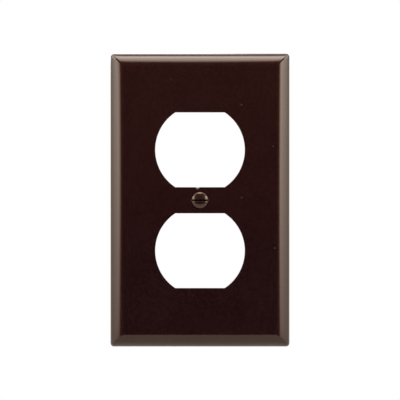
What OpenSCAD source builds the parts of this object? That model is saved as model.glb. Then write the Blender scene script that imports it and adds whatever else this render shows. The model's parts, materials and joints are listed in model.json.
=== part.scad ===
// Cover plate for a duplex receptacle, with the screw that holds it on and the washer that keeps the screw in it.
// Each piece is drawn with the wall as the ground, z being the height off the wall, and is then stood upright.

/* [Plate] */
// Width of the plate
plate_w = 69.85; // [60:0.05:90]
// Height of the plate
plate_h = 114.3; // [104:0.05:140]
// Depth of the plate off the wall
plate_d = 5.6; // [5.4:0.1:8]
// Thickness of the front face
face_t = 2.3; // [2:0.1:3]
// Width of the rim that lies on the wall
rim_w = 1.6; // [1.2:0.1:2.4]
// Height at which the bevel would meet the upright side of the rim
rim_h = 2; // [1.7:0.05:2.35]
// Slope of the bevel, measured from the front face
bevel_angle = 50; // [45:1:55]
// Radius that blends the bevel into the front face
blend_r = 5.4; // [1:0.1:6]
// Radius of the edge between the rim and the bevel
edge_r = 4.6; // [1:0.1:5]
// Radius of the plate's four corners, seen from the front
corner_r = 1.3; // [0.5:0.1:3]
// Radius of the hollow's corners, seen from behind
hollow_corner_r = 0.8; // [0.4:0.1:2]
// Radius where the hollow's sides meet its floor
floor_r = 1.3; // [0.3:0.1:2]

/* [Openings] */
// Diameter of each opening's round sides
opening_d = 34.5; // [33:0.1:37]
// Distance between each opening's two flats
opening_h = 28.8; // [27:0.1:30]
// Distance between the centres of the two openings
opening_pitch = 38.9; // [38:0.1:41]
// Angle by which each opening's sides widen towards the wall
draft_angle = 5; // [0:0.5:6]
// Width of the raised edge behind each opening
collar_w = 1; // [0.6:0.1:1.6]
// Height of the raised edge behind each opening
collar_h = 0.8; // [0.3:0.1:1]

/* [Ejector marks] */
// Diameter of the round ejector marks in the hollow's floor
ejector_d = 5; // [3:0.5:8]
// Depth of the ejector marks
ejector_deep = 0.15; // [0.05:0.05:0.3]
// Distance of the ejector marks from the plate's outline
ejector_inset = 11; // [9:0.5:13]

/* [Screw] */
// Diameter of the screw's head
head_d = 6.4; // [5.6:0.1:7]
// Angle of the cone under the head
head_angle = 82; // [80:1:100]
// Height of the head's dome
dome_h = 1.15; // [0.8:0.05:1.5]
// Height of the head's straight edge, between the cone and the dome
head_edge = 0.1; // [0.05:0.05:0.3]
// Depth of the dome's foot below the front face
head_recess = 0.05; // [0:0.05:0.3]
// Width of the driver slot
slot_w = 0.7; // [0.5:0.05:1.3]
// Depth of the driver slot, from the top of the dome
slot_deep = 1.5; // [1:0.1:2]
// Length of the screw, from the dome's foot to the tip
screw_len = 12.7; // [11:0.1:25]
// Outer diameter of the thread
thread_d = 3.505; // [2.8:0.005:4]
// Distance from one thread to the next
thread_pitch = 0.79375; // [0.5:0.00625:1]
// Chamfer of the tip
tip_chamfer = 0.4; // [0.1:0.1:0.8]

/* [Washer] */
// Outer diameter of the retaining washer
washer_d = 7; // [6:0.1:9]
// Thickness of the retaining washer
washer_t = 0.8; // [0.4:0.1:1]
// Turns that the screw backs out before the washer meets the plate
backout_turns = 1.5; // [0.5:0.25:1.5]

/* [Clearances] */
// Gap all round between the thread and the hole in the plate
hole_gap = 0.2; // [0.1:0.05:0.4]
// Gap between the head's cone and its seat in the plate
seat_gap = 0.05; // [0.03:0.01:0.15]
// Gap all round between the washer and the neck of the screw
neck_gap = 0.06; // [0.02:0.01:0.1]
// Gap all round between the washer and the raised edges beside it
room_gap = 0.3; // [0.2:0.05:0.6]
// Gap left in front of the washer when the screw is backed out
stop_gap = 0.1; // [0.05:0.05:0.3]

/* [Hidden] */
$fn = 96;

// Cuts and unused ends run past the surface by this much
past = 1;

// The hollow behind the plate
floor_z = plate_d - face_t;
hollow_w = plate_w - 2 * rim_w;
hollow_h = plate_h - 2 * rim_w;

// The thread, a 60 degree form with a flat crest and root
thread_depth = 5 / 8 * thread_pitch * cos(30);
root_r = thread_d / 2 - thread_depth;
crest_half = thread_pitch / 16;
ridge_half = crest_half + thread_depth * tan(30);

// The head, which sits in a cone of the same angle
head_z = plate_d - head_recess;
cone_slope = tan(head_angle / 2);
cone_z = head_z - head_edge;
neck_top_z = cone_z - (head_d / 2 - root_r) / cone_slope;
dome_r = (pow(head_d / 2, 2) + pow(dome_h, 2)) / (2 * dome_h);
tip_z = head_z - screw_len;

// The hole and its countersink
hole_r = thread_d / 2 + hole_gap;
sink_z = cone_z - (head_d / 2 + seat_gap - hole_r) / cone_slope;

// The washer on the neck, as far behind the plate as the screw backs out
washer_front_z = floor_z - stop_gap - backout_turns * thread_pitch;
washer_back_z = washer_front_z - washer_t;
thread_count = floor((washer_back_z - tip_z) / thread_pitch);

function unit(v) = v / norm(v);

// Stands a piece up: its depth now runs forwards, to -Y, and its height runs up, to +Z
module upright() {
    rotate([90, 0, 0])
        children();
}

// An outline whose corners turn one way, each rounded to its own radius by a true arc
module rounded(points, radii) {
    n = len(points);
    back = [for (i = [0:n - 1]) unit(points[(i + n - 1) % n] - points[i])];
    ahead = [for (i = [0:n - 1]) unit(points[(i + 1) % n] - points[i])];
    half = [for (i = [0:n - 1]) acos(back[i] * ahead[i]) / 2];
    reach = [for (i = [0:n - 1]) radii[i] / tan(half[i])];
    polygon([
        for (i = [0:n - 1], way = [back[i], ahead[i]])
            points[i] + reach[i] * way
    ]);
    for (i = [0:n - 1])
        if (radii[i] > 0)
            translate(points[i] + radii[i] / sin(half[i]) * unit(back[i] + ahead[i]))
                circle(radii[i]);
}

// A rectangle about the origin with four equal round corners
module rounded_rectangle(w, h, r) {
    corners = [for (s = [[-1, -1], [1, -1], [1, 1], [-1, 1]]) [s.x * w / 2, s.y * h / 2]];
    rounded(corners, [r, r, r, r]);
}

// A block with sloped sides: its section across the width, along the height, and its outline agree
module sloped_block(w, h, foot_z, side_z, top_z, side_r, top_r, outline_r) {
    module section(span) {
        lean = (top_z - side_z) / tan(bevel_angle);
        rounded(
            [
                [-span / 2, foot_z - past], [span / 2, foot_z - past], [span / 2, side_z],
                [span / 2 - lean, top_z], [lean - span / 2, top_z], [-span / 2, side_z],
            ],
            [0, 0, side_r, top_r, top_r, side_r]
        );
    }
    intersection() {
        rotate([90, 0, 0])
            linear_extrude(h + 2 * past, center = true)
                section(w);
        rotate([90, 0, 90])
            linear_extrude(w + 2 * past, center = true)
                section(h);
        translate([0, 0, foot_z])
            linear_extrude(top_z - foot_z + past)
                rounded_rectangle(w, h, outline_r);
    }
}

// One opening's outline at the front face: a circle with a flat above and below, grown by a margin
module opening_outline(margin = 0) {
    intersection() {
        circle(opening_d / 2 + margin);
        square([opening_d + 2 * margin, opening_h + 2 * margin], center = true);
    }
}

// One opening right through the plate, wider towards the wall by its draft
module opening_cut() {
    back = (plate_d + past) * tan(draft_angle);
    front = -past * tan(draft_angle);
    intersection() {
        translate([0, 0, -past])
            cylinder(h = plate_d + 2 * past, r1 = opening_d / 2 + back, r2 = opening_d / 2 + front);
        rotate([90, 0, 90])
            linear_extrude(opening_d + 2 * back + 2 * past, center = true)
                polygon([
                    [-opening_h / 2 - back, -past], [opening_h / 2 + back, -past],
                    [opening_h / 2 + front, plate_d + past], [-opening_h / 2 - front, plate_d + past],
                ]);
    }
}

// Places something at each opening's centre
module at_openings() {
    for (side = [-1, 1])
        translate([0, side * opening_pitch / 2, 0])
            children();
}

// The hole for the screw, with the countersink that seats its head
module screw_hole() {
    sink_h = plate_d - sink_z + past;
    translate([0, 0, -past])
        cylinder(h = plate_d + 2 * past, r = hole_r);
    translate([0, 0, sink_z])
        cylinder(h = sink_h, r1 = hole_r, r2 = hole_r + sink_h * cone_slope);
}

// The four shallow marks near the corners of the hollow's floor
module ejector_marks() {
    for (x = [-1, 1], y = [-1, 1])
        translate([x * (plate_w / 2 - ejector_inset), y * (plate_h / 2 - ejector_inset), floor_z - past])
            cylinder(h = past + ejector_deep, d = ejector_d);
}

// The raised edges behind the openings, with room for the washer between them
module collars() {
    difference() {
        translate([0, 0, floor_z - collar_h])
            linear_extrude(collar_h + face_t / 2)
                at_openings()
                    opening_outline(collar_w);
        translate([0, 0, floor_z - collar_h - past])
            cylinder(h = collar_h + past, d = washer_d + 2 * room_gap);
    }
}

module wall_plate() {
    color([0.15, 0.07, 0.07])
        upright()
            difference() {
                union() {
                    difference() {
                        sloped_block(plate_w, plate_h, 0, rim_h, plate_d, edge_r, blend_r, corner_r);
                        sloped_block(hollow_w, hollow_h, -past, 0, floor_z, 0, floor_r, hollow_corner_r);
                    }
                    collars();
                }
                at_openings()
                    opening_cut();
                screw_hole();
                ejector_marks();
            }
}

// Half the screw's section: dome, cone, neck, a ridge for each thread, and the chamfered tip
module screw_section() {
    ridges = [
        for (i = [0:thread_count - 1])
            let (z = washer_back_z - (i + 0.5) * thread_pitch)
                each [
                    [root_r, z + ridge_half], [thread_d / 2, z + crest_half],
                    [thread_d / 2, z - crest_half], [root_r, z - ridge_half],
                ]
    ];
    intersection() {
        polygon([
            [0, head_z + dome_h], [head_d / 2, head_z + dome_h], [head_d / 2, cone_z], [root_r, neck_top_z],
            each ridges,
            [root_r, tip_z + tip_chamfer], [root_r - tip_chamfer, tip_z], [0, tip_z],
        ]);
        union() {
            translate([0, head_z + dome_h - dome_r])
                circle(dome_r);
            translate([0, tip_z - past])
                square([head_d, cone_z + head_edge / 2 - tip_z + past]);
        }
    }
}

module mounting_screw() {
    color([0.2, 0.12, 0.1])
        upright()
            difference() {
                rotate_extrude()
                    screw_section();
                translate([-head_d / 2 - past, -slot_w / 2, head_z + dome_h - slot_deep])
                    cube([head_d + 2 * past, slot_w, slot_deep + past]);
            }
}

module retaining_washer() {
    color([0.82, 0.79, 0.7])
        upright()
            translate([0, 0, washer_back_z])
                difference() {
                    cylinder(h = washer_t, d = washer_d);
                    translate([0, 0, -past])
                        cylinder(h = washer_t + 2 * past, r = root_r + neck_gap);
                }
}

wall_plate();
mounting_screw();
retaining_washer();
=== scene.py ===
"""Dresses a duplex receptacle's cover plate, its screw and its washer, and sets up their studio.

Sizes of the pieces are millimetres: x to the viewer's right, z up, and heights off the wall.
Meshes and the studio are in metres in the part's own frame, in which the plate's front looks to -Y.
"""
import json
import logging
import math
from dataclasses import dataclass, field
from enum import Enum
from typing import Any, Sequence

import bmesh
import bpy
import numpy as np
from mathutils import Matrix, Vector
from mathutils.geometry import delaunay_2d_cdt
from numpy.typing import NDArray


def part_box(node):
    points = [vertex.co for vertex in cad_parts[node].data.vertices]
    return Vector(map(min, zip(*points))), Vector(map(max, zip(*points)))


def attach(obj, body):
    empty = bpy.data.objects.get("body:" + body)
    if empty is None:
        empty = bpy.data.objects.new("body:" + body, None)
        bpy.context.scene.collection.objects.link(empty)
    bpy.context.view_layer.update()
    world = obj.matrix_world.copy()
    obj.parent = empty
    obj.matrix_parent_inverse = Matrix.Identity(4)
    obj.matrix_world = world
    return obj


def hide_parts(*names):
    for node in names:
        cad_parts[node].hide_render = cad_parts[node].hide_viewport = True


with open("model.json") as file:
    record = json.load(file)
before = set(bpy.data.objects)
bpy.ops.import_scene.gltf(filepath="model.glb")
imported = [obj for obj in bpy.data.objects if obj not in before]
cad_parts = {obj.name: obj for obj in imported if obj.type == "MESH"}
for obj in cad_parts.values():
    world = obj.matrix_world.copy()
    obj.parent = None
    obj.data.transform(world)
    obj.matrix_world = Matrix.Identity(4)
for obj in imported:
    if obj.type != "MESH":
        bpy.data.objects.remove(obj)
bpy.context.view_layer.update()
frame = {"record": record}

Array = NDArray[np.float64]
Pair = tuple[float, float]
Point = tuple[float, float, float]
Colour = tuple[float, float, float, float]
Socket = bpy.types.NodeSocket

MM = 0.001
WELD_MM = 0.0004
TINY_MM = 1e-6
ALL_TRIANGLES = 0
QUARTER_TURN = math.pi / 2
FULL_TURN = 2 * math.pi
WHITE: Colour = (1.0, 1.0, 1.0, 1.0)
log = logging.getLogger("cover_plate")


class Slot(Enum):
    """The record's material slots."""

    PLASTIC = "brown_plastic"
    PAINTED_STEEL = "brown_painted_steel"
    NYLON = "natural_nylon"


class Body(Enum):
    """The bodies that pieces ride on."""

    PLATE = "plate"
    WASHER = "washer"
    SCREW = "screw"


class CadNode(Enum):
    """The part's nodes, each of which one piece stands for."""

    PLATE = "wall_plate"
    SCREW = "mounting_screw"
    WASHER = "retaining_washer"


class Mark(Enum):
    """The point attributes that materials read."""

    RUB = "rub"
    PAINT = "paint"
    # Painted shade: near-black colour in the screw's slot and the plate's countersink, where shade falls.
    RECESS_SHADE = "grime"


class Axis(Enum):
    """The axes along which a lamp's glow may change."""

    X = "X"
    Y = "Y"
    Z = "Z"


@dataclass(frozen=True)
class Span:
    """How far one of the part's nodes reaches at rest, in millimetres."""

    width: float
    height: float
    back: float
    front: float

    @classmethod
    def of(cls, node: CadNode) -> "Span":
        """Measures a node in the frame: its width, its height, and its back and front off the wall."""
        low, high = np.array(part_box(node.value)) / MM
        return cls(high[0] - low[0], high[2] - low[2], -high[1], -low[1])


def mount_size(mount: str, size: str) -> float:
    """Gives a size of one of the record's mounts, in millimetres."""
    return next(row["dims"][size] for row in frame["record"]["mounts"] if row["name"] == mount)


def unit(vectors: Array) -> Array:
    """Scales each vector to length one."""
    return vectors / np.linalg.norm(vectors, axis=-1, keepdims=True)


def stand(plan: Array, height: Array) -> Array:
    """Stands points up in the part's frame.

    A point's x stays, its height off the wall runs to -Y, and its second plan number is z.

    Args:
        plan: Points seen from the front, with x and z last, in millimetres.
        height: Their heights off the wall, or what spreads to them, in millimetres.

    Returns:
        The points in metres, with x, y and z last.
    """
    depth = -np.broadcast_to(height, plan.shape[:-1])
    return np.stack([plan[..., 0], depth, plan[..., 1]], axis=-1) * MM


def all_round(radii: Sequence[float], places: int) -> Array:
    """Repeats each inner corner's radius at every place along a path, as (inner corners, places)."""
    return np.repeat(np.array(radii)[:, None], places, axis=1)


def rounded_profile(corners: Array, radii: Array, steps: int, strip: float = 0.06) -> Array:
    """Rounds the inner corners of an open profile.

    A corner whose sides open by twice a gets an arc of radius r. The arc touches both sides r / tan(a) from
    the corner, and its centre lies r / sin(a) from the corner, between the sides. A narrow strip before and
    after each arc keeps the flats beside it flat in shading.

    Args:
        corners: The corners in order, as (corners, 2), each with its height second.
        radii: Each inner corner's radius at each place along the path, as (inner corners, places).
        steps: Faces in each arc.
        strip: Width of the strips beside an arc.

    Returns:
        The profile at each place, as (2, points, places), with its heights second.
    """
    places = radii.shape[1]
    rows = [np.broadcast_to(corners[0], (places, 2))]
    share = np.linspace(0.0, 1.0, steps + 1)[:, None, None]
    for before, here, after, radius in zip(corners[:-2], corners[1:-1], corners[2:], radii):
        back = unit(before - here)
        ahead = unit(after - here)
        half = math.acos(float(np.clip(back @ ahead, -1.0, 1.0))) / 2
        reach = (radius / math.tan(half))[:, None]
        centre = here + unit(back + ahead) * (radius / math.sin(half))[:, None]
        first = here + back * reach - centre
        last = here + ahead * reach - centre
        sweep = math.pi - 2 * half
        arc = (np.sin((1 - share) * sweep) * first + np.sin(share * sweep) * last) / math.sin(sweep)
        rows.append(here + back * (reach + strip))
        rows.extend(centre + arc)
        rows.append(here + ahead * (reach + strip))
    rows.append(np.broadcast_to(corners[-1], (places, 2)))
    return np.moveaxis(np.stack(rows), -1, 0)


def circle_loops(radius: Array) -> Array:
    """Carries radii, as (points, places), round a circle: place i of n lies at i / n of a full turn."""
    angle = np.linspace(0.0, FULL_TURN, radius.shape[1], endpoint=False)
    return np.stack([radius * np.cos(angle), radius * np.sin(angle)], axis=-1)


def stacked_rings(plan: Array, rings: Sequence[Pair]) -> Array:
    """Stacks copies of a circle of radius one, each with its ring's radius and height."""
    radius, height = np.array(rings).T
    return stand(radius[:, None, None] * plan, height[:, None])


def put_in_scene(name: str, data: bpy.types.ID) -> bpy.types.Object:
    """Adds an object to the scene, at the origin.

    Args:
        name: Its name.
        data: Its mesh, lamp or camera.

    Returns:
        The object.
    """
    added = bpy.data.objects.new(name, data)
    bpy.context.scene.collection.objects.link(added)
    return added


class Patchwork:
    """Gathers grids and flat fills, and welds them into one closed mesh."""

    def __init__(self) -> None:
        """Starts with no points."""
        self._points: list[Array] = []
        self._faces: list[list[int]] = []
        self._marks: dict[Mark, list[Array]] = {mark: [] for mark in Mark}
        self._count = 0

    def _take(self, points: Array, marks: dict[Mark, Array]) -> int:
        """Keeps some points and their marks.

        Args:
            points: Points as (n, 3), in metres.
            marks: Values from 0 to 1 for each point.

        Returns:
            The index of the first point.
        """
        start = self._count
        self._points.append(points)
        for mark in Mark:
            values = np.broadcast_to(marks.get(mark, np.zeros(1)), points.shape[:1])
            self._marks[mark].append(values)
        self._count += len(points)
        return start

    def add_grid(self, points: Array, wrap: bool = True, shift: int = 0, **marks: Array) -> None:
        """Adds a grid of four-sided faces.

        Args:
            points: The grid as (rows, columns, 3).
            wrap: Whether the last column joins the first.
            shift: How many rows further on it joins the first, as a helix does.
            **marks: Values on the grid, as (rows, columns) or what spreads to it, named as in Mark.
        """
        shape = points.shape[:2]
        spread = {Mark(name): np.broadcast_to(value, shape).reshape(-1) for name, value in marks.items()}
        start = self._take(points.reshape(-1, 3), spread)
        index = start + np.arange(shape[0] * shape[1]).reshape(shape)
        if wrap:
            joined = np.minimum(np.arange(shape[0]) + shift, shape[0] - 1)
            index = np.concatenate([index, index[joined, :1]], axis=1)
        corners = (index[:-1, :-1], index[1:, :-1], index[1:, 1:], index[:-1, 1:])
        self._faces.extend(np.stack(corners, axis=-1).reshape(-1, 4).tolist())

    def add_flat(self, loops: Sequence[Array]) -> None:
        """Fills a flat area that faces along Y with triangles, none thinner than its outlines need.

        Every outline is convex, so a triangle whose corners are all on one hole lies in that hole, and is
        left out.

        Args:
            loops: The outline first, then the outline of each hole, each as (points, 3).
        """
        points = np.concatenate(loops)
        start = self._take(points, {})
        sizes = [len(loop) for loop in loops]
        rings = np.split(np.arange(len(points)), np.cumsum(sizes)[:-1])
        edges = np.concatenate([np.stack([ring, np.roll(ring, -1)], axis=1) for ring in rings])
        plan = points[:, (0, 2)] / MM
        filled = delaunay_2d_cdt(plan.tolist(), edges.tolist(), [], ALL_TRIANGLES, TINY_MM, False)
        triangles = np.array(filled[2])
        loop_number = np.repeat(np.arange(len(loops)), sizes)[triangles]
        in_hole = (loop_number[:, 0] > 0) & (np.ptp(loop_number, axis=1) == 0)
        self._faces.extend((start + triangles[~in_hole]).tolist())

    def build(self, name: str, sharp_deg: float) -> bpy.types.Object:
        """Welds everything into one mesh object whose faces point outwards.

        Args:
            name: The object's name.
            sharp_deg: Edges that turn more than this are drawn sharp.

        Returns:
            The new object, at the origin.
        """
        mesh = bpy.data.meshes.new(name)
        mesh.from_pydata(np.concatenate(self._points).tolist(), [], self._faces)
        for mark in Mark:
            layer = mesh.attributes.new(mark.value, "FLOAT", "POINT")
            layer.data.foreach_set("value", np.concatenate(self._marks[mark]).astype(np.float32))
        work = bmesh.new()
        work.from_mesh(mesh)
        bmesh.ops.remove_doubles(work, verts=work.verts, dist=WELD_MM * MM)
        bmesh.ops.recalc_face_normals(work, faces=work.faces)
        loose = sum(not edge.is_manifold for edge in work.edges)
        work.to_mesh(mesh)
        work.free()
        mesh.shade_smooth()
        mesh.set_sharp_from_angle(angle=math.radians(sharp_deg))
        log.info("%s: %d faces, %d open edges", name, len(mesh.polygons), loose)
        return put_in_scene(name, mesh)


def hand_over(
    piece: bpy.types.Object, body: Body, node: CadNode, finish: bpy.types.Material
) -> None:
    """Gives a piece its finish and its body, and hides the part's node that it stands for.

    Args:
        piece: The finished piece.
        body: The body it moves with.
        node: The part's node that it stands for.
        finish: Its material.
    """
    piece.data.materials.append(finish)
    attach(piece, body.value)
    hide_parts(node.value)


def emptied_nodes(owner: bpy.types.ID) -> bpy.types.NodeTree:
    """Turns on the nodes of a material, world or lamp, and clears them.

    Args:
        owner: The material, world or lamp.

    Returns:
        Its empty tree.
    """
    owner.use_nodes = True
    owner.node_tree.nodes.clear()
    return owner.node_tree


class NodeTree:
    """Writes shader nodes briefly."""

    def __init__(self, tree: bpy.types.NodeTree) -> None:
        """Takes the tree to write in."""
        self.tree = tree

    def node(self, kind: str, values: dict[Any, Any] | None = None, **settings: Any) -> bpy.types.Node:
        """Adds a node.

        Args:
            kind: The node's type.
            values: What each input holds, by its name or number. A socket is linked.
            **settings: The node's own settings.

        Returns:
            The node.
        """
        made = self.tree.nodes.new(kind)
        for name, setting in settings.items():
            setattr(made, name, setting)
        for socket, value in (values or {}).items():
            if isinstance(value, Socket):
                self.tree.links.new(value, made.inputs[socket])
            else:
                made.inputs[socket].default_value = value
        return made

    def maths(self, operation: str, *values: Any, clamp: bool = False) -> Socket:
        """Works out a value from numbers and sockets, and may clamp it to the range from 0 to 1."""
        made = self.node("ShaderNodeMath", dict(enumerate(values)), operation=operation, use_clamp=clamp)
        return made.outputs[0]

    def raised(self, base: Any, *parts: tuple[Socket, float]) -> Socket:
        """Raises a value by masks.

        Args:
            base: The value.
            *parts: Each mask, and what it adds where it is 1.

        Returns:
            The sum.
        """
        for mask, amount in parts:
            base = self.maths("MULTIPLY_ADD", mask, amount, base)
        return base

    def mix(self, share: Any, first: Socket, second: Socket) -> Socket:
        """Mixes two values."""
        return self.node("ShaderNodeMix", {0: share, 2: first, 3: second}, data_type="FLOAT").outputs[0]

    def blend(self, share: Any, first: Any, second: Any) -> Socket:
        """Mixes two colours."""
        return self.node("ShaderNodeMix", {0: share, 6: first, 7: second}, data_type="RGBA").outputs[2]

    def either(self, share: Any, first: bpy.types.Node, second: bpy.types.Node) -> bpy.types.Node:
        """Mixes two shaders."""
        return self.node("ShaderNodeMixShader", {0: share, 1: first.outputs[0], 2: second.outputs[0]})

    def ramp(self, value: Any, span: Pair, results: Pair = (0.0, 1.0), smooth: bool = False) -> Socket:
        """Maps a value from a span to two results, and holds it past the ends.

        Args:
            value: The value.
            span: Where the first and the last result are reached.
            results: The first and the last result.
            smooth: Whether the change starts and ends gently.

        Returns:
            The mapped value.
        """
        values = dict(enumerate((value, *span, *results)))
        course = "SMOOTHSTEP" if smooth else "LINEAR"
        return self.node("ShaderNodeMapRange", values, interpolation_type=course).outputs[0]

    def noise(self, place: Socket, scale: Any, detail: float) -> Socket:
        """Gives noise from 0 to 1, with its features in a metre as scale and its octaves as detail."""
        made = self.node("ShaderNodeTexNoise", {"Vector": place, "Scale": scale, "Detail": detail})
        return made.outputs["Fac"]

    def bump(self, height: Socket, strength: float, distance: float) -> Socket:
        """Turns a height, whose range from 0 to 1 stands for a distance in metres, into a normal."""
        values = {"Height": height, "Strength": strength, "Distance": distance}
        return self.node("ShaderNodeBump", values).outputs[0]

    def effect(self, group: bpy.types.NodeTree, **values: float) -> Socket:
        """Places a shared effect and gives its result."""
        return self.node("ShaderNodeGroup", values, node_tree=group).outputs[0]

    def here(self) -> Socket:
        """Gives the place on the piece, in metres."""
        return self.node("ShaderNodeTexCoord").outputs["Object"]

    def mark(self, mark: Mark) -> Socket:
        """Gives one of the mesh's point attributes."""
        return self.node("ShaderNodeAttribute", attribute_name=mark.value).outputs["Fac"]


class FinishTree(NodeTree):
    """Writes a material's nodes."""

    def __init__(self, name: str) -> None:
        """Starts an empty material."""
        self.finish = bpy.data.materials.new(name)
        super().__init__(emptied_nodes(self.finish))

    def close(self, shader: bpy.types.Node) -> bpy.types.Material:
        """Makes a shader the material's surface, and gives the material."""
        self.node("ShaderNodeOutputMaterial", {"Surface": shader.outputs[0]})
        return self.finish


class EffectTree(NodeTree):
    """Writes a shader node group with named inputs and one named output."""

    def __init__(self, name: str, result: str, **inputs: float) -> None:
        """Makes the group and its sockets.

        Args:
            name: The group's name.
            result: The output's name.
            **inputs: Each input's usual value.
        """
        super().__init__(bpy.data.node_groups.new(name, "ShaderNodeTree"))
        sockets = self.tree.interface
        for label, value in inputs.items():
            socket = sockets.new_socket(label, in_out="INPUT", socket_type="NodeSocketFloat")
            socket.default_value = value
        sockets.new_socket(result, in_out="OUTPUT", socket_type="NodeSocketFloat")
        self.given = self.node("NodeGroupInput").outputs

    def close(self, value: Socket) -> bpy.types.NodeTree:
        """Links the group's result, and gives the group."""
        self.node("NodeGroupOutput", {0: value})
        return self.tree


class Effects:
    """The effects that the finishes share."""

    def __init__(self) -> None:
        """Builds each effect once."""
        self.dust = self._dust()
        self.tone = self._tone()
        self.relief = self._relief()
        self.hairlines = self._hairlines()

    @staticmethod
    def _dust() -> bpy.types.NodeTree:
        """Builds sparse specks: the balls round the chosen cell points that the surface cuts through.

        Returns:
            The group. Speck is 1 in the middle of a speck and 0 off it.
        """
        least_size = 0.4
        soft_edge = (0.0, 0.6)
        at = EffectTree("dust_specks", "Speck", Cells=300.0, Radius=0.1, Share=0.3)
        cells = at.node(
            "ShaderNodeTexVoronoi",
            {"Vector": at.here(), "Scale": at.given["Cells"], "Randomness": 1.0},
        ).outputs
        grain = at.node("ShaderNodeSeparateColor", {0: cells["Color"]}).outputs
        chosen = at.maths("LESS_THAN", grain[0], at.given["Share"])
        size = at.maths("MULTIPLY", at.given["Radius"], at.maths("ADD", grain[1], least_size))
        inside = at.maths("SUBTRACT", 1.0, at.maths("DIVIDE", cells["Distance"], size), clamp=True)
        return at.close(at.maths("MULTIPLY", at.ramp(inside, soft_edge, smooth=True), chosen))

    @staticmethod
    def _tone() -> bpy.types.NodeTree:
        """Builds uneven colour: broad clouds plus a fine mottle.

        Returns:
            The group. Tone is about 0.5, from 0 to 1.
        """
        contrast = (0.3, 0.7)
        at = EffectTree("uneven_tone", "Tone", Cloud=40.0, Mottle=900.0, Fine=0.35)
        place = at.here()
        cloud = at.noise(place, at.given["Cloud"], detail=2.0)
        mottle = at.noise(place, at.given["Mottle"], detail=2.0)
        return at.close(at.ramp(at.mix(at.given["Fine"], cloud, mottle), contrast, smooth=True))

    @staticmethod
    def _relief() -> bpy.types.NodeTree:
        """Builds a height for bump: slow ripples plus a fine grain.

        Returns:
            The group. Height is from 0 to 1.
        """
        at = EffectTree("skin_relief", "Height", Ripple=160.0, Grain=4000.0, Fine=0.1)
        place = at.here()
        ripple = at.noise(place, at.given["Ripple"], detail=1.0)
        grain = at.noise(place, at.given["Grain"], detail=2.0)
        return at.close(at.mix(at.given["Fine"], ripple, grain))

    @staticmethod
    def _hairlines() -> bpy.types.NodeTree:
        """Builds fine scratches: the thin contour lines of a noise that is stretched along one direction.

        Returns:
            The group. Scratch is 1 on a scratch and 0 off it.
        """
        lean = (0.0, 0.55, 0.0)
        stretch = (1.0, 1.0, 0.06)
        patch_scale = 70.0
        contour = 0.5
        at = EffectTree("hairlines", "Scratch", Across=500.0, Thin=0.01, Share=0.5)
        place = at.here()
        turned = at.node("ShaderNodeMapping", {"Vector": place, "Rotation": lean, "Scale": stretch})
        waves = at.noise(turned.outputs[0], at.given["Across"], detail=1.0)
        away = at.maths("ABSOLUTE", at.maths("SUBTRACT", waves, contour))
        line = at.maths("SUBTRACT", 1.0, at.maths("DIVIDE", away, at.given["Thin"]), clamp=True)
        patches = at.noise(place, patch_scale, detail=1.0)
        shown = at.maths("LESS_THAN", patches, at.given["Share"])
        return at.close(at.maths("MULTIPLY", line, shown))


@dataclass(frozen=True)
class GlossPlastic:
    """Dark brown moulded plastic with a polished skin."""

    deep: Colour = (0.0114, 0.0033, 0.0037, 1.0)
    pale: Colour = (0.0183, 0.0059, 0.0063, 1.0)
    rubbed: Colour = (0.034, 0.016, 0.013, 1.0)
    dust: Colour = (0.13, 0.11, 0.11, 1.0)
    dust_cover: float = 0.26
    # Painted shade in the countersink round the screw's head.
    grime: Colour = (0.0033, 0.0020, 0.0016, 1.0)
    sheen: Colour = (1.0, 0.77, 0.61, 1.0)
    index: float = 1.62
    rough: float = 0.12
    rougher_tone: float = 0.03
    rougher_lines: float = 0.06
    rougher_dust: float = 0.3
    rougher_rub: float = 0.08
    bump: float = 0.35
    bump_height: float = 0.00003

    def build(self, effects: Effects) -> bpy.types.Material:
        """Builds the material.

        The colour runs between two browns with the moulding's clouds, is paler where edges are rubbed,
        carries specks of dust, and is painted near black in the countersink, as shade round the screw's
        head. The roughness rises with the clouds and on scratches, dust and rubbed edges.

        Args:
            effects: The shared effects.

        Returns:
            The material.
        """
        at = FinishTree("brown_moulding")
        tone = at.effect(effects.tone, Cloud=90.0, Mottle=1200.0, Fine=0.72)
        dust = at.effect(effects.dust, Cells=250.0, Radius=0.1, Share=0.22)
        lines = at.effect(effects.hairlines)
        rub = at.maths("MULTIPLY", at.mark(Mark.RUB), tone)
        brown = at.blend(tone, self.deep, self.pale)
        brown = at.blend(rub, brown, self.rubbed)
        brown = at.blend(at.maths("MULTIPLY", dust, self.dust_cover), brown, self.dust)
        # Painted shade: the countersink goes near black.
        brown = at.blend(at.mark(Mark.RECESS_SHADE), brown, self.grime)
        rough = at.raised(
            self.rough,
            (tone, self.rougher_tone),
            (lines, self.rougher_lines),
            (dust, self.rougher_dust),
            (rub, self.rougher_rub),
        )
        return at.close(at.node("ShaderNodeBsdfPrincipled", {
            "Base Color": brown,
            "Roughness": rough,
            "Normal": at.bump(at.effect(effects.relief), self.bump, self.bump_height),
            "IOR": self.index,
            "Specular Tint": self.sheen,
        }))


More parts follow.
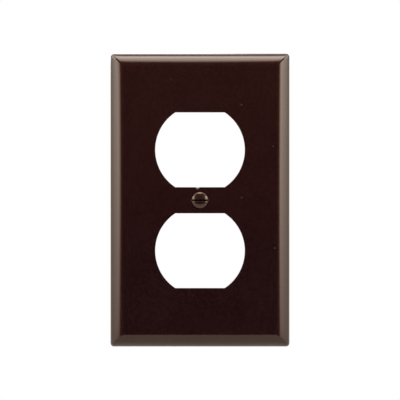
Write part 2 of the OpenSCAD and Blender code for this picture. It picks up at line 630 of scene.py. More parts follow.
@dataclass(frozen=True)
class PaintedSteel:
    """Brown enamel on the head of a zinc-plated steel screw."""

    enamel: Colour = (0.0085, 0.0039, 0.0026, 1.0)
    enamel_pale: Colour = (0.0131, 0.0063, 0.0045, 1.0)
    # Painted shade in the slot: near-black enamel that is mostly metal, so it mirrors next to nothing.
    grime: Colour = (0.0024, 0.0016, 0.0013, 1.0)
    grime_metal: float = 0.8
    zinc: Colour = (0.60, 0.61, 0.60, 1.0)
    zinc_dull: Colour = (0.42, 0.43, 0.42, 1.0)
    rub_cover: float = 0.03
    ragged: float = 0.5
    paint_edge: Pair = (0.4, 0.6)
    sheen: Colour = (1.0, 0.67, 0.54, 1.0)
    index: float = 1.79
    rough: float = 0.14
    rougher_tone: float = 0.06
    rougher_lines: float = 0.1
    bump: float = 0.5
    bump_height: float = 0.00001

    def build(self, effects: Effects) -> bpy.types.Material:
        """Builds the material.

        The paint mark on the mesh says where enamel lies. A fine noise breaks its edge, and a little zinc
        shows where edges are rubbed. In the slot the enamel carries painted shade: it is near black there
        and counts as a nearly black metal, which mirrors next to nothing.

        Args:
            effects: The shared effects.

        Returns:
            The material.
        """
        at = FinishTree("brown_enamel_on_steel")
        tone = at.effect(effects.tone, Cloud=500.0, Mottle=5000.0)
        lines = at.effect(effects.hairlines, Across=2500.0, Thin=0.03)
        relief = at.effect(effects.relief, Ripple=1500.0, Grain=12000.0, Fine=0.3)
        # The mark of painted shade in the slot.
        grime = at.mark(Mark.RECESS_SHADE)
        rub = at.maths("MULTIPLY", at.mark(Mark.RUB), tone)
        paint = at.maths("SUBTRACT", at.mark(Mark.PAINT), self.ragged / 2)
        cover = at.ramp(at.raised(paint, (tone, self.ragged)), self.paint_edge, smooth=True)
        enamel = at.blend(tone, self.enamel, self.enamel_pale)
        enamel = at.blend(at.maths("MULTIPLY", rub, self.rub_cover), enamel, self.zinc_dull)
        enamel = at.blend(grime, enamel, self.grime)
        steel = at.blend(tone, self.zinc_dull, self.zinc)
        bare = at.maths("SUBTRACT", 1.0, cover)
        return at.close(at.node("ShaderNodeBsdfPrincipled", {
            "Base Color": at.blend(cover, steel, enamel),
            "Metallic": at.maths("MAXIMUM", bare, at.maths("MULTIPLY", grime, self.grime_metal)),
            "Roughness": at.raised(self.rough, (tone, self.rougher_tone), (lines, self.rougher_lines)),
            "Normal": at.bump(relief, self.bump, self.bump_height),
            "IOR": self.index,
            "Specular Tint": self.sheen,
        }))


@dataclass(frozen=True)
class MilkyNylon:
    """Uncoloured nylon, slightly milky."""

    deep: Colour = (0.56, 0.50, 0.38, 1.0)
    pale: Colour = (0.68, 0.63, 0.52, 1.0)
    dust: Colour = (0.22, 0.19, 0.16, 1.0)
    dust_cover: float = 0.4
    index: float = 1.53
    rough: float = 0.38
    rougher_tone: float = 0.1
    bump: float = 0.5
    bump_height: float = 0.00002

    def build(self, effects: Effects) -> bpy.types.Material:
        """Builds the material: two cream tones, a few dark specks and a satin skin.

        Args:
            effects: The shared effects.

        Returns:
            The material.
        """
        at = FinishTree("milky_nylon")
        tone = at.effect(effects.tone, Cloud=300.0, Mottle=4000.0)
        dust = at.effect(effects.dust, Cells=1500.0, Share=0.15)
        relief = at.effect(effects.relief, Ripple=800.0, Grain=9000.0, Fine=0.4)
        cream = at.blend(tone, self.deep, self.pale)
        cream = at.blend(at.maths("MULTIPLY", dust, self.dust_cover), cream, self.dust)
        return at.close(at.node("ShaderNodeBsdfPrincipled", {
            "Base Color": cream,
            "Roughness": at.raised(self.rough, (tone, self.rougher_tone)),
            "Normal": at.bump(relief, self.bump, self.bump_height),
            "IOR": self.index,
        }))


@dataclass
class MountingScrew:
    """The oval-head slotted screw, with its thread as a true helix."""

    span: Span = field(default_factory=lambda: Span.of(CadNode.SCREW))
    thread_radius: float = field(default_factory=lambda: mount_size("screw_thread", "r_mm"))
    thread_top: float = 1.16
    thread_start: float = 0.5
    thread_end: float = 0.7
    pitch: float = 0.79375
    thread_deg: float = 60.0
    root_share: float = 0.25
    crest_share: float = 0.125
    spare_turns: int = 2
    tip_chamfer: float = 0.4
    tip_edge: float = 0.05
    tip_edge_out: float = 0.03
    head_radius: float = 3.2
    head_height: float = 5.55
    head_edge: float = 0.1
    head_deg: float = 82.0
    dome: float = 1.15
    slot_width: float = 0.7
    slot_depth: float = 1.5
    slot_edge: float = 0.04
    slot_margin: float = 0.03
    rub_width: float = 0.12
    rub_depth: float = 0.2
    thin_paint: float = 0.55
    thin_paint_out: float = 0.45
    lobe_rows: int = 26
    edge_rows: int = 4
    floor_rows: int = 3
    columns: int = 41

    @property
    def tip(self) -> float:
        """Height of the tip off the wall, which is below zero behind it."""
        return self.span.back

    @property
    def flank_share(self) -> float:
        """Share of the pitch that each of the thread's flanks takes."""
        return (1 - self.root_share - self.crest_share) / 2

    @property
    def thread_depth(self) -> float:
        """Depth of the thread, whose two flanks lean by half its angle each."""
        return self.flank_share * self.pitch / math.tan(math.radians(self.thread_deg / 2))

    @property
    def root_radius(self) -> float:
        """Radius of the neck and of the thread's roots."""
        return self.thread_radius - self.thread_depth

    @property
    def cone_slope(self) -> float:
        """How much wider the cone under the head gets for each unit of height."""
        return math.tan(math.radians(self.head_deg / 2))

    @property
    def cone_height(self) -> float:
        """Height of the cone's top off the wall."""
        return self.head_height - self.head_edge

    @property
    def slot_floor(self) -> float:
        """Height of the slot's floor off the wall."""
        return self.head_height + self.dome - self.slot_depth

    def cone_radius(self, height: float) -> float:
        """Gives the cone's radius at a height off the wall."""
        return self.head_radius - (self.cone_height - height) * self.cone_slope

    def dome_height(self, x: Array, z: Array) -> Array:
        """Gives the dome's height off the wall.

        The dome is half an ellipse: its height is its rise times the square root of one less the square of
        the distance from the axis over the head's radius. Near the slot it drops by a quarter circle that
        rounds the slot's edge.

        Args:
            x: Places across.
            z: Places up.

        Returns:
            The heights.
        """
        inside = np.clip(1 - (np.square(x) + np.square(z)) / self.head_radius**2, 0.0, 1.0)
        into = np.clip(self.slot_width / 2 + self.slot_edge - np.abs(z), 0.0, self.slot_edge)
        drop = self.slot_edge - np.sqrt(self.slot_edge**2 - np.square(into))
        return self.head_height + self.dome * np.sqrt(inside) - drop

    def top(self) -> tuple[Array, Array, Array]:
        """Builds the head's top with its slot as one grid.

        Each row is a level line across the head. The rows run from the top of the head down to the slot,
        back along the slot's wall, over its floor, and out again to the bottom of the head. A row's
        half-length is that of the head at its own height and place. The rub mark is a bell curve of the
        distance from the slot's edge, and the painted-shade mark is 1 within the slot, where shade falls.

        Returns:
            The grid as (rows, columns, 3) in millimetres, with x, height and z last, its rub mark and its
            painted-shade mark.
        """
        half = self.slot_width / 2
        floor_radius = self.cone_radius(self.slot_floor)
        start = math.asin((half + self.slot_edge) / self.head_radius)
        swing = np.linspace(QUARTER_TURN, start, self.lobe_rows)
        turn = np.linspace(0.0, QUARTER_TURN, self.edge_rows + 1)[1:]
        round_off = half + self.slot_edge * (1 - np.sin(turn))
        across = np.sin(np.linspace(-QUARTER_TURN, QUARTER_TURN, self.columns))
        lobe_z = np.concatenate([self.head_radius * np.sin(swing), round_off])
        lobe_reach = np.sqrt(np.clip(self.head_radius**2 - np.square(lobe_z), 0.0, None))
        lobe_x = lobe_reach[:, None] * across
        lobe_y = self.dome_height(lobe_x, lobe_z[:, None])
        wall_reach = np.sqrt(np.square([self.head_radius, floor_radius]) - half**2)
        wall_x = wall_reach[:, None] * across
        wall_y = np.broadcast_to([[self.cone_height], [self.slot_floor]], wall_x.shape)
        floor_z = np.linspace(half / 2, -half / 2, self.floor_rows)
        floor_x = np.sqrt(floor_radius**2 - np.square(floor_z))[:, None] * across
        floor_y = np.full(floor_x.shape, self.slot_floor)
        x = np.concatenate([lobe_x, wall_x, floor_x, wall_x[::-1], lobe_x[::-1]])
        y = np.concatenate([lobe_y, wall_y, floor_y, wall_y[::-1], lobe_y[::-1]])
        z = np.concatenate([lobe_z, [half, half], floor_z, [-half, -half], -lobe_z[::-1]])
        z = np.broadcast_to(z[:, None], x.shape)
        near_top = y > self.head_height - self.rub_depth
        rub = np.exp(-np.square((np.abs(z) - half) / self.rub_width)) * near_top
        # Painted shade: the slot's walls and floor are marked to be drawn near black.
        grime = np.where(np.abs(z) < half + TINY_MM, 1.0, 0.0)
        return np.stack([x, y, z], axis=-1), rub, grime

    def shank_angles(self, edge: Array) -> Array:
        """Gives each place round the head its angle on the shank.

        The angles fall steadily from the top, clockwise as seen from the front. Places on the slot's walls
        share the angle at which the slot's floor meets the cone.

        Args:
            edge: The loop round the head's top, as (places, 3) with x, height and z last.

        Returns:
            The angles as (places,).
        """
        half = self.slot_width / 2
        least = math.asin(half / self.cone_radius(self.slot_floor))
        angle = np.arctan2(edge[:, 2], np.abs(edge[:, 0]))
        on_floor = np.abs(edge[:, 2]) < half - TINY_MM
        angle = np.where(on_floor, angle, np.sign(angle) * np.maximum(np.abs(angle), least))
        return np.where(np.arange(len(edge)) < len(edge) / 2, angle, -math.pi - angle)

    def thread(self, angle: Array) -> tuple[Array, Array, int]:
        """Builds the thread as a grid that follows the helix.

        A point's height falls by one pitch for each turn, and its radius depends only on its place within
        the pitch: a root flat, a flank, a crest and a flank. The ridge fades out at both ends, and the rows
        are held between the thread's ends, which spare turns reach past.

        Args:
            angle: The angles round the shank.

        Returns:
            The heights and the radii, each as (rows, places), and the rows in one turn.
        """
        end = self.tip + self.tip_chamfer
        turns = math.ceil((self.thread_top - end) / self.pitch) + self.spare_turns
        bends = np.cumsum([0.0, self.root_share, self.flank_share, self.crest_share, self.flank_share])
        place = np.stack([bends[:-1], (bends[:-1] + bends[1:]) / 2], axis=1).reshape(-1)
        ridge = np.interp(place, bends, [0.0, 0.0, 1.0, 1.0, 0.0])
        rows = (np.arange(turns)[:, None] + place).reshape(-1)
        fall = (angle[0] - angle) / FULL_TURN
        height = self.thread_top + self.pitch * (1 - rows[:, None] - fall)
        height = np.clip(height, end, self.thread_top)
        fade_in = np.clip((self.thread_top - height) / self.thread_start, 0.0, 1.0)
        fade_out = np.clip((height - end) / self.thread_end, 0.0, 1.0)
        rise = self.thread_depth * np.tile(ridge, turns)[:, None]
        return height, self.root_radius + rise * fade_in * fade_out, len(place)

    def build(self) -> bpy.types.Object:
        """Joins the head's top, its cone, the neck, the thread and the tip.

        The paint mark is 1 on the head, thins out down the cone and ends at the neck.

        Returns:
            The screw.
        """
        work = Patchwork()
        # The top brings its rub mark and the mark of painted shade in the slot.
        top, rub, grime = self.top()
        work.add_grid(
            stand(top[..., (0, 2)], top[..., 1]), wrap=False, rub=rub, grime=grime, paint=np.ones(1)
        )
        edge = np.concatenate([top[:, -1], top[-2:0:-1, 0]])
        edge_plan = edge[:, (0, 2)]
        angle = self.shank_angles(edge)
        round_plan = np.stack([np.cos(angle), np.sin(angle)], axis=-1)
        under_slot = self.slot_floor - self.slot_margin
        neck = self.cone_height - (self.head_radius - self.root_radius) / self.cone_slope
        cone_and_neck = stacked_rings(round_plan, (
            (self.cone_radius(under_slot), under_slot),
            (self.root_radius + self.thin_paint_out, neck + self.thin_paint_out / self.cone_slope),
            (self.root_radius, neck),
            (self.root_radius, self.thread_top),
        ))
        head_side = np.stack([
            stand(edge_plan, edge[:, 1]),
            stand(edge_plan, np.minimum(edge[:, 1], self.cone_height)),
        ])
        paint = np.array([1.0, 1.0, 1.0, self.thin_paint, 0.0, 0.0])
        work.add_grid(np.concatenate([head_side, cone_and_neck]), paint=paint[:, None])
        height, radius, turn_rows = self.thread(angle)
        work.add_grid(stand(radius[..., None] * round_plan, height), shift=turn_rows)
        end_radius = self.root_radius - self.tip_chamfer
        work.add_grid(stacked_rings(round_plan, (
            (self.root_radius, self.tip + self.tip_chamfer),
            (end_radius + self.tip_edge_out, self.tip + self.tip_edge),
            (end_radius - self.tip_edge, self.tip),
            (0.0, self.tip),
        )))
        return work.build("oval_head_screw", sharp_deg=35.0)

    def dress(self, piece: bpy.types.Object, effects: Effects) -> None:
        """Gives the screw its enamel and zinc."""
        hand_over(piece, Body.SCREW, CadNode.SCREW, PaintedSteel().build(effects))


@dataclass
class WallPlate:
    """The moulded plate: rim, bevel, face, two openings, countersunk hole and hollow back."""

    screw: MountingScrew
    span: Span = field(default_factory=lambda: Span.of(CadNode.PLATE))
    face: float = 2.3
    rim_width: float = 1.6
    rim_height: float = 2.0
    rim_rub: float = 0.5
    bevel_deg: float = 50.0
    blend_radius: float = 5.4
    edge_radius: float = 4.6
    foot_radius: float = 0.15
    lip_radius: float = 0.12
    floor_radius: float = 1.3
    corner_radius: float = 1.3
    hollow_corner_radius: float = 0.8
    mitre_radius: float = 0.06
    skirt: float = 0.5
    opening_width: float = 34.5
    opening_height: float = 28.8
    opening_pitch: float = 38.9
    opening_draft_deg: float = 5.0
    opening_edge: float = 0.1
    opening_skirt: float = 1.45
    collar_width: float = 1.0
    collar_height: float = 0.8
    collar_edge: float = 0.12
    collar_foot: float = 0.2
    gate_x: float = -0.95
    gate_width: float = 0.55
    gate_cut: float = 1.25
    hole_gap: float = 0.2
    hole_edge: float = 0.1
    hole_skirt: float = 0.4
    seat_gap: float = 0.05
    sink_edge: float = 0.04
    sink_foot: float = 0.15
    sink_skirt: float = 0.12
    # Depth below the face over which the countersink's painted shade deepens.
    sink_grime: float = 0.06
    ejector_width: float = 5.0
    ejector_depth: float = 0.15
    ejector_inset: float = 11.0
    ejector_lean: float = 0.04
    ejector_edge: float = 0.05
    ejector_skirt: float = 0.25
    ejector_rim: float = 0.3
    flat_slack: float = 0.01
    side_steps: int = 24
    corner_steps: int = 8
    arc_places: int = 96
    flat_places: int = 72
    hole_places: int = 96
    ejector_places: int = 64

    @property
    def depth(self) -> float:
        """Height of the front face off the wall."""
        return self.span.front

    @property
    def floor(self) -> float:
        """Height of the hollow's floor off the wall."""
        return self.depth - self.face

    @property
    def hole_radius(self) -> float:
        """Radius of the hole that the thread passes through."""
        return self.screw.thread_radius + self.hole_gap

    @property
    def sink_height(self) -> float:
        """Height off the wall at which the countersink meets the hole."""
        mouth = self.screw.head_radius + self.seat_gap
        return self.screw.cone_height - (mouth - self.hole_radius) / self.screw.cone_slope

    def rectangle_loops(self, inset: Array, radius: Array) -> Array:
        """Carries a profile round the plate's outline.

        Each loop is a rectangle, smaller than the outline by its inset, with quarter circles for corners.
        The sides are straight lines between the ends of the quarter circles.

        Args:
            inset: How far inside the outline each loop lies, as (loops,).
            radius: Each loop's corner radius, as (loops,).

        Returns:
            Plan points as (loops, places, 2).
        """
        turn = np.linspace(0.0, QUARTER_TURN, self.corner_steps + 1)
        corners = []
        for quarter, (right, up) in enumerate(((1, 1), (-1, 1), (-1, -1), (1, -1))):
            angle = turn + quarter * QUARTER_TURN
            x = right * (self.span.width / 2 - inset - radius)[:, None] + radius[:, None] * np.cos(angle)
            z = up * (self.span.height / 2 - inset - radius)[:, None] + radius[:, None] * np.sin(angle)
            corners.append(np.stack([x, z], axis=-1))
        share = np.linspace(0.0, 1.0, self.side_steps + 1)[None, 1:-1, None]
        around = []
        for here, after in zip(corners, corners[1:] + corners[:1]):
            around.append(here)
            around.append(here[:, -1:] * (1 - share) + after[:, :1] * share)
        return np.concatenate(around, axis=1)

    def opening_reach(self, margin: Array) -> tuple[Array, Array, Array]:
        """Gives the circle and the flats of an opening that is grown by a margin.

        Both lie further from the centre by the margin, so they meet at the angle whose sine is the flats'
        distance over the radius.

        Args:
            margin: The margin at each point.

        Returns:
            The circle's radius, the flats' distance from the centre, and the angle at which they meet.
        """
        radius = self.opening_width / 2 + margin
        flat = self.opening_height / 2 + margin
        return radius, flat, np.arcsin(flat / radius)

    def opening_loops(self, margin: Array, side: int) -> Array:
        """Carries a profile round an opening, a circle cut by two level flats.

        The places run round the right arc, the upper flat, the left arc and the lower flat. The last two
        are the first two, turned by half a turn.

        Args:
            margin: How far outside the opening each point lies, as (loops, places).
            side: 1 for the upper opening and -1 for the lower.

        Returns:
            Plan points as (loops, places, 2).
        """
        swing = np.linspace(-1.0, 1.0, self.arc_places, endpoint=False)
        slide = np.linspace(1.0, -1.0, self.flat_places, endpoint=False)
        ends = np.cumsum([self.arc_places, self.flat_places, self.arc_places])
        right, top, left, bottom = np.split(margin, ends, axis=1)
        parts = []
        for round_side, level_side, way in ((right, top, 1), (left, bottom, -1)):
            radius, _, meet = self.opening_reach(round_side)
            arc = [radius * np.cos(meet * swing), radius * np.sin(meet * swing)]
            radius, flat, meet = self.opening_reach(level_side)
            level = [radius * np.cos(meet) * slide, flat]
            parts += [way * np.stack(arc, axis=-1), way * np.stack(level, axis=-1)]
        return np.concatenate(parts, axis=1) + np.array([0.0, side * self.opening_pitch / 2])

    def rim_band(self) -> tuple[Array, Array]:
        """Builds the bevel, the rim, its foot and the hollow's sides as one band.

        The profile starts on the face, rolls over the blend to the bevel, turns over the rim's edge down to
        the wall, crosses the foot and climbs the hollow's side to the floor. The rub mark is a bell curve of
        the height from the rim's edge.

        Returns:
            The band as (points, places, 3), and its rub mark as (points, 1).
        """
        lean = 1 / math.tan(math.radians(self.bevel_deg))
        bevel_in = (self.depth - self.rim_height) * lean
        floor_in = self.rim_width + self.floor * lean
        reach = math.tan(math.radians(self.bevel_deg / 2))
        face_start = bevel_in + self.blend_radius * reach + self.skirt
        floor_end = floor_in + self.floor_radius * reach + self.skirt
        corners = np.array([
            (face_start, self.depth), (bevel_in, self.depth), (0.0, self.rim_height), (0.0, 0.0),
            (self.rim_width, 0.0), (floor_in, self.floor), (floor_end, self.floor),
        ])
        front_radii = (self.blend_radius, self.edge_radius, self.foot_radius)
        radii = all_round((*front_radii, self.lip_radius, self.floor_radius), places=1)
        inset, height = rounded_profile(corners, radii, steps=14)[..., 0]
        in_front = np.arange(len(inset)) < np.argmin(height)
        front = np.interp(inset, [0.0, face_start], [self.corner_radius, self.mitre_radius])
        rear = np.interp(
            inset,
            [0.0, self.rim_width, floor_end],
            [self.corner_radius, self.hollow_corner_radius, self.mitre_radius],
        )
        rub = np.exp(-np.square((height - self.rim_height) / self.rim_rub)) * in_front
        plan = self.rectangle_loops(inset, np.where(in_front, front, rear))
        return stand(plan, height[:, None]), rub[:, None]

    def opening_band(self, side: int) -> tuple[Array, Array]:
        """Builds an opening's edge, wall and raised collar as one band.

        The profile starts on the face, rounds the front edge, runs back through the opening, which widens by
        its draft, and returns over the collar to the floor. At the trimmed gate of the moulding, on the
        upper opening's lower flat, the front edge's radius swells by a bell curve, and so does the rub mark.

        Args:
            side: 1 for the upper opening and -1 for the lower.

        Returns:
            The band as (points, places, 3), and its rub mark as (points, places).
        """
        places = 2 * (self.arc_places + self.flat_places)
        collar_back = self.floor - self.collar_height
        draft = (self.depth - collar_back) * math.tan(math.radians(self.opening_draft_deg))
        corners = np.array([
            (self.opening_skirt, self.depth), (0.0, self.depth), (draft, collar_back),
            (self.collar_width, collar_back), (self.collar_width, self.floor),
            (self.collar_width + self.skirt, self.floor),
        ])
        outline = self.opening_loops(np.zeros((1, places)), side)[0]
        gate_z = (self.opening_pitch - self.opening_height) / 2
        on_flat = np.abs(outline[:, 1] - gate_z) < self.flat_slack
        swell = np.exp(-np.square((outline[:, 0] - self.gate_x) / self.gate_width)) * on_flat
        radii = all_round((self.opening_edge, self.collar_edge, self.collar_edge, self.collar_foot), places)
        radii[0] += self.gate_cut * swell
        margin, height = rounded_profile(corners, radii, steps=6)
        rub = np.broadcast_to(swell, height.shape) * (height > self.floor) * (height < self.depth)
        return stand(self.opening_loops(margin, side), height), rub

    def hole_band(self) -> tuple[Array, Array]:
        """Builds the countersink and the hole: radii and heights carried round the screw's axis.

        The painted-shade mark, for shade in the gap round the screw's head, rises in a straight line with
        the depth below the face, and ends with the countersink.

        Returns:
            The band as (points, places, 3), and its painted-shade mark as (points, places).
        """
        mouth = self.hole_radius + (self.depth - self.sink_height) * self.screw.cone_slope
        corners = np.array([
            (mouth + self.sink_skirt, self.depth), (mouth, self.depth), (self.hole_radius, self.sink_height),
            (self.hole_radius, self.floor), (self.hole_radius + self.hole_skirt, self.floor),
        ])
        radii = all_round((self.sink_edge, self.sink_foot, self.hole_edge), self.hole_places)
        radius, height = rounded_profile(corners, radii, steps=4, strip=0.04)
        # Painted shade in the countersink, darker further below the face.
        grime = np.clip((self.depth - height) / self.sink_grime, 0.0, 1.0) * (height > self.sink_height)
        return stand(circle_loops(radius), height), grime

    def ejector_band(self, right: int, up: int) -> Array:
        """Builds the edge of one ejector mark, a shallow round step up from the floor.

        Args:
            right: 1 for the viewer's right and -1 for the left.
            up: 1 for the top and -1 for the bottom.

        Returns:
            The band as (points, places, 3).
        """
        outer = self.ejector_width / 2
        step = self.floor + self.ejector_depth
        corners = np.array([
            (outer + self.ejector_skirt, self.floor), (outer, self.floor),
            (outer - self.ejector_lean, step), (outer - self.ejector_rim, step),
        ])
        radii = all_round((self.ejector_edge, self.ejector_edge), self.ejector_places)
        radius, height = rounded_profile(corners, radii, steps=3, strip=0.02)
        centre_x = right * (self.span.width / 2 - self.ejector_inset)
        centre_z = up * (self.span.height / 2 - self.ejector_inset)
        return stand(circle_loops(radius) + np.array([centre_x, centre_z]), height)

    def build(self) -> bpy.types.Object:
        """Joins the bands with a flat face, a flat floor and four flat ejector marks.

        Returns:
            The plate.
        """
        work = Patchwork()
        rim, rim_rub = self.rim_band()
        work.add_grid(rim, rub=rim_rub)
        holes = []
        for side in (1, -1):
            opening, rub = self.opening_band(side)
            work.add_grid(opening, rub=rub)
            holes.append(opening)
        # The countersink brings its mark of painted shade.
        hole, grime = self.hole_band()
        work.add_grid(hole, grime=grime)
        holes.append(hole)
        ejectors = [self.ejector_band(right, up) for right in (1, -1) for up in (1, -1)]
        for ejector in ejectors:
            work.add_grid(ejector)
            work.add_flat([ejector[-1]])
        work.add_flat([rim[0], *(band[0] for band in holes)])
        work.add_flat([rim[-1], *(band[-1] for band in holes), *(band[0] for band in ejectors)])
        return work.build("cover_plate", sharp_deg=38.0)

    def dress(self, piece: bpy.types.Object, effects: Effects) -> None:
        """Gives the plate its plastic."""
        hand_over(piece, Body.PLATE, CadNode.PLATE, GlossPlastic().build(effects))


@dataclass
class RetainingWasher:
    """The small washer that keeps the screw in the plate."""

    screw: MountingScrew
    span: Span = field(default_factory=lambda: Span.of(CadNode.WASHER))
    outer_radius: float = 3.5
    outer_edge: float = 0.16
    inner_edge: float = 0.096
    neck_gap: float = 0.06
    places: int = 96

    def build(self) -> bpy.types.Object:
        """Carries a closed, rounded section round the screw's axis.

        Returns:
            The washer.
        """
        back, front = self.span.back, self.span.front
        inner_radius = self.screw.root_radius + self.neck_gap
        middle = (self.outer_radius + inner_radius) / 2
        corners = np.array([
            (middle, back), (self.outer_radius, back), (self.outer_radius, front),
            (inner_radius, front), (inner_radius, back), (middle, back),
        ])
        edges = (self.outer_edge, self.outer_edge, self.inner_edge, self.inner_edge)
        radius, height = rounded_profile(corners, all_round(edges, self.places), steps=5)
        work = Patchwork()
        work.add_grid(stand(circle_loops(radius), height))
        return work.build("nylon_washer", sharp_deg=50.0)

    def dress(self, piece: bpy.types.Object, effects: Effects) -> None:
        """Gives the washer its nylon."""
        hand_over(piece, Body.WASHER, CadNode.WASHER, MilkyNylon().build(effects))


@dataclass(frozen=True)
class Fade:
    """How a lamp's glow changes along one axis: from one share at the span's start to another at its end.

    With a bow, the span moves along the axis by the bow times the square of the distance from the bow's
    middle, and no further once that distance is the bow's reach.
    """

    axis: Axis
    span: Pair
    shares: Pair
    bow: float = 0.0
    bow_axis: Axis = Axis.Z
    bow_middle: float = 0.0
    bow_reach: float = 0.16


@dataclass(frozen=True)
class Softbox:
    """A soft lamp whose glow may change across it."""

    name: str
    place: Point
    size: Pair
    glow: float
    look_at: Point = (0.0, 0.0, 0.0)
    fades: tuple[Fade, ...] = ()

    def build(self) -> None:
        """Hangs the lamp, out of the camera's sight.

        The glow is the brightness that the lamp's face adds to what a mirror shows behind it. Its watts are
        the glow times pi times its area.
        """
        lamp = bpy.data.lights.new(self.name, "AREA")
        lamp.shape = "RECTANGLE"
        lamp.size, lamp.size_y = self.size
        lamp.energy = self.glow * math.pi * self.size[0] * self.size[1]
        at = NodeTree(emptied_nodes(lamp))
        position = at.node("ShaderNodeNewGeometry").outputs["Position"]
        spot = at.node("ShaderNodeSeparateXYZ", {0: position}).outputs
        share: Any = 1.0
        for fade in self.fades:
            aside = at.maths("ABSOLUTE", at.maths("SUBTRACT", spot[fade.bow_axis.value], fade.bow_middle))
            aside = at.maths("MINIMUM", aside, fade.bow_reach)
            moved = at.maths("MULTIPLY", at.maths("MULTIPLY", aside, aside), fade.bow)
            along = at.maths("SUBTRACT", spot[fade.axis.value], moved)
            share = at.maths("MULTIPLY", share, at.ramp(along, fade.span, fade.shares))
        glow = at.node("ShaderNodeEmission", {"Color": WHITE, "Strength": share})
        at.node("ShaderNodeOutputLight", {"Surface": glow.outputs[0]})
        hung = put_in_scene(self.name, lamp)
        hung.location = self.place
        ahead = Vector(self.look_at) - Vector(self.place)
        hung.rotation_euler = ahead.to_track_quat("-Z", "Y").to_euler()
        hung.visible_camera = False


@dataclass
class Studio:
    """The camera, the lamps, the white surroundings, the pale floor and a screen behind the camera."""

    distance: float = 0.391
    camera_z: float = 0.004
    aim_z: float = 0.00004
    lens: float = 90.0
    sensor: float = 36.0
    nearest: float = 0.01
    ambient: float = 0.2
    mirrored: Colour = (0.65, 0.603, 0.542, 1.0)
    floor_z: float = -0.112
    floor_half: float = 0.3
    floor_front: float = -0.24
    floor_fade: Pair = (0.06, 0.155)
    floor_colour: Colour = (0.51, 0.475, 0.435, 1.0)
    floor_seen: Colour = (0.6, 0.6, 0.6, 1.0)
    screen_y: float = -0.75
    screen_low: float = -0.35
    screen_high: float = 1.1
    screen_half: float = 0.6
    screen_colour: Colour = (1.0, 0.34, 0.18, 1.0)
    middle_glow: float = 0.153
    middle_rise: Pair = (-0.11, 0.15)
    upper_rise: Pair = (0.20, 0.50)
    upper_share: float = 1.7
    side_glow: float = 0.153
    side_rise: Pair = (0.09, 0.28)
    foot_glow: float = 0.2
    foot_rise: Pair = (-0.2, -0.28)

    @staticmethod
    def lamps() -> list[Softbox]:
        """Lists the lamps.

        Returns:
            One overhead, a long one on each side that is dimmer below, one at each upper corner and one
            behind.
        """
        dim_below = Fade(Axis.Z, (-0.25, 0.35), (0.0, 2.4))
        return [
            Softbox(
                "overhead", place=(0.0, -0.24, 0.60), size=(0.42, 0.84), glow=5.8, look_at=(0.0, -0.24, 0.0),
                fades=(
                    Fade(
                        Axis.Y, (-0.67, -0.35), (0.0, 1.0),
                        bow=11.9, bow_axis=Axis.X, bow_middle=-0.02, bow_reach=0.12,
                    ),
                    Fade(Axis.Y, (-0.32, 0.04), (0.62, 1.0)),
                    Fade(Axis.Y, (0.10, 0.17), (1.0, 0.0)),
                ),
            ),
            Softbox(
                "left", place=(-0.567, -0.195, 0.06), size=(1.40, 0.54), glow=3.1, look_at=(0.0, 0.0, 0.06),
                fades=(
                    Fade(Axis.Y, (-0.78, -0.38), (0.0, 1.0), bow=6.8, bow_middle=-0.01),
                    Fade(Axis.Y, (-0.45, 0.30), (1.0, 0.1)),
                    dim_below,
                ),
            ),
            Softbox(
                "right", place=(0.567, -0.195, 0.06), size=(1.40, 0.54), glow=3.5, look_at=(0.0, 0.0, 0.06),
                fades=(
                    Fade(Axis.Y, (-0.76, -0.50), (0.0, 1.0), bow=4.2, bow_middle=-0.04),
                    Fade(Axis.Y, (-0.55, 0.30), (1.0, 0.08)),
                    dim_below,
                ),
            ),
            Softbox("upper_left", place=(-0.42, 0.02, 0.42), size=(0.42, 0.50), glow=2.82),
            Softbox("upper_right", place=(0.42, 0.02, 0.42), size=(0.42, 0.50), glow=2.52),
            Softbox("rear", place=(-0.25, 0.80, 0.45), size=(0.60, 0.60), glow=1.9),
        ]

    def build(self) -> None:
        """Sets everything up."""
        self._camera()
        self._surroundings()
        self._floor()
        self._screen()
        for lamp in self.lamps():
            lamp.build()

    def _camera(self) -> None:
        """Stands the camera square in front of the plate, a little above its middle.

        The view is shifted down to the plate's middle.
        """
        data = bpy.data.cameras.new("front_camera")
        data.lens = self.lens
        data.sensor_width = self.sensor
        data.clip_start = self.nearest
        data.shift_y = -(self.camera_z - self.aim_z) / self.distance * self.lens / self.sensor
        camera = put_in_scene("front_camera", data)
        camera.location = (0.0, -self.distance, self.camera_z)
        camera.rotation_euler = (QUARTER_TURN, 0.0, 0.0)
        bpy.context.scene.camera = camera

    def _surroundings(self) -> None:
        """Makes the world white where it is seen, warm where it is mirrored, and a dim light elsewhere."""
        world = bpy.data.worlds.new("white_studio")
        at = NodeTree(emptied_nodes(world))
        path = at.node("ShaderNodeLightPath").outputs
        seen = at.maths("MAXIMUM", path["Is Camera Ray"], path["Is Transmission Ray"])
        plain = at.node("ShaderNodeBackground", {"Color": WHITE, "Strength": self.ambient})
        warm = at.node("ShaderNodeBackground", {"Color": self.mirrored, "Strength": 1.0})
        white = at.node("ShaderNodeBackground", {"Color": WHITE, "Strength": 1.0})
        chosen = at.either(seen, at.either(path["Is Glossy Ray"], plain, warm), white)
        at.node("ShaderNodeOutputWorld", {"Surface": chosen.outputs[0]})
        bpy.context.scene.world = world

    @staticmethod
    def _sheet(name: str, corners: Sequence[Point]) -> bpy.types.Object:
        """Makes a flat four-sided sheet for the stage.

        Args:
            name: Its name.
            corners: Its four corners, in metres.

        Returns:
            The sheet.
        """
        mesh = bpy.data.meshes.new(name)
        mesh.from_pydata(corners, [], [(0, 1, 2, 3)])
        sheet = put_in_scene(name, mesh)
        return sheet

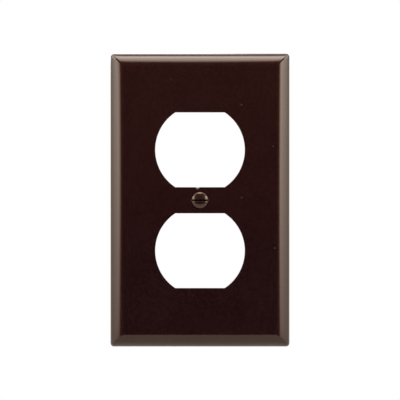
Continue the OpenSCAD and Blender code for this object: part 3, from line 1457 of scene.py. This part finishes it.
    def _floor(self) -> None:
        """Lays a pale floor that keeps the object's shadow.

        It fades to white away from the object, and can't be seen from below.
        """
        far = self.floor_half
        near = self.floor_front
        level = self.floor_z
        floor = self._sheet(
            "pale_floor", [(-far, near, level), (far, near, level), (far, far, level), (-far, far, level)]
        )
        at = FinishTree("pale_floor")
        without_z = (1.0, 1.0, 0.0)
        reach = at.node("ShaderNodeVectorMath", {0: at.here(), 1: without_z}, operation="MULTIPLY")
        away = at.node("ShaderNodeVectorMath", {0: reach.outputs[0]}, operation="LENGTH").outputs["Value"]
        seen = at.node("ShaderNodeLightPath").outputs["Is Camera Ray"]
        below = at.node("ShaderNodeNewGeometry").outputs["Backfacing"]
        fade = at.maths("MULTIPLY", at.ramp(away, self.floor_fade, smooth=True), seen)
        grey = at.blend(seen, self.floor_colour, self.floor_seen)
        matt = at.node("ShaderNodeBsdfDiffuse", {"Color": grey})
        white = at.node("ShaderNodeEmission", {"Color": WHITE, "Strength": 1.0})
        clear = at.node("ShaderNodeBsdfTransparent")
        floor.data.materials.append(at.close(at.either(below, at.either(fade, matt, white), clear)))

    def _screen(self) -> None:
        """Hangs a dark screen behind the camera, which only reflections show.

        It glows faintly above its foot, more so higher up, and also at its sides and along its foot.
        """
        half = self.screen_half
        back = self.screen_y
        low = self.screen_low
        high = self.screen_high
        screen = self._sheet(
            "dark_screen", [(-half, back, low), (half, back, low), (half, back, high), (-half, back, high)]
        )
        screen.visible_camera = False
        screen.visible_diffuse = False
        screen.visible_transmission = False
        screen.visible_shadow = False
        at = FinishTree("dark_screen")
        spot = at.node("ShaderNodeSeparateXYZ", {0: at.here()}).outputs
        middle = at.ramp(spot["Z"], self.middle_rise, (0.0, self.middle_glow))
        upper = at.ramp(spot["Z"], self.upper_rise, (1.0, self.upper_share))
        side = at.ramp(at.maths("ABSOLUTE", spot["X"]), self.side_rise, (0.0, self.side_glow))
        foot = at.ramp(spot["Z"], self.foot_rise, (0.0, self.foot_glow))
        glow = at.maths("ADD", at.maths("MULTIPLY_ADD", middle, upper, side), foot)
        cloth = at.node("ShaderNodeEmission", {"Color": self.screen_colour, "Strength": glow})
        screen.data.materials.append(at.close(cloth))


def main() -> None:
    """Builds the studio and the pieces."""
    logging.basicConfig(level=logging.INFO, format="%(name)s: %(message)s")
    bpy.context.scene.view_settings.view_transform = "Standard"
    Studio().build()
    effects = Effects()
    screw = MountingScrew()
    for assembly in (WallPlate(screw), screw, RetainingWasher(screw)):
        piece = assembly.build()
        assembly.dress(piece, effects)
        log.info("%s rides and replaces its node", piece.name)


if __name__ == "__main__":
    main()
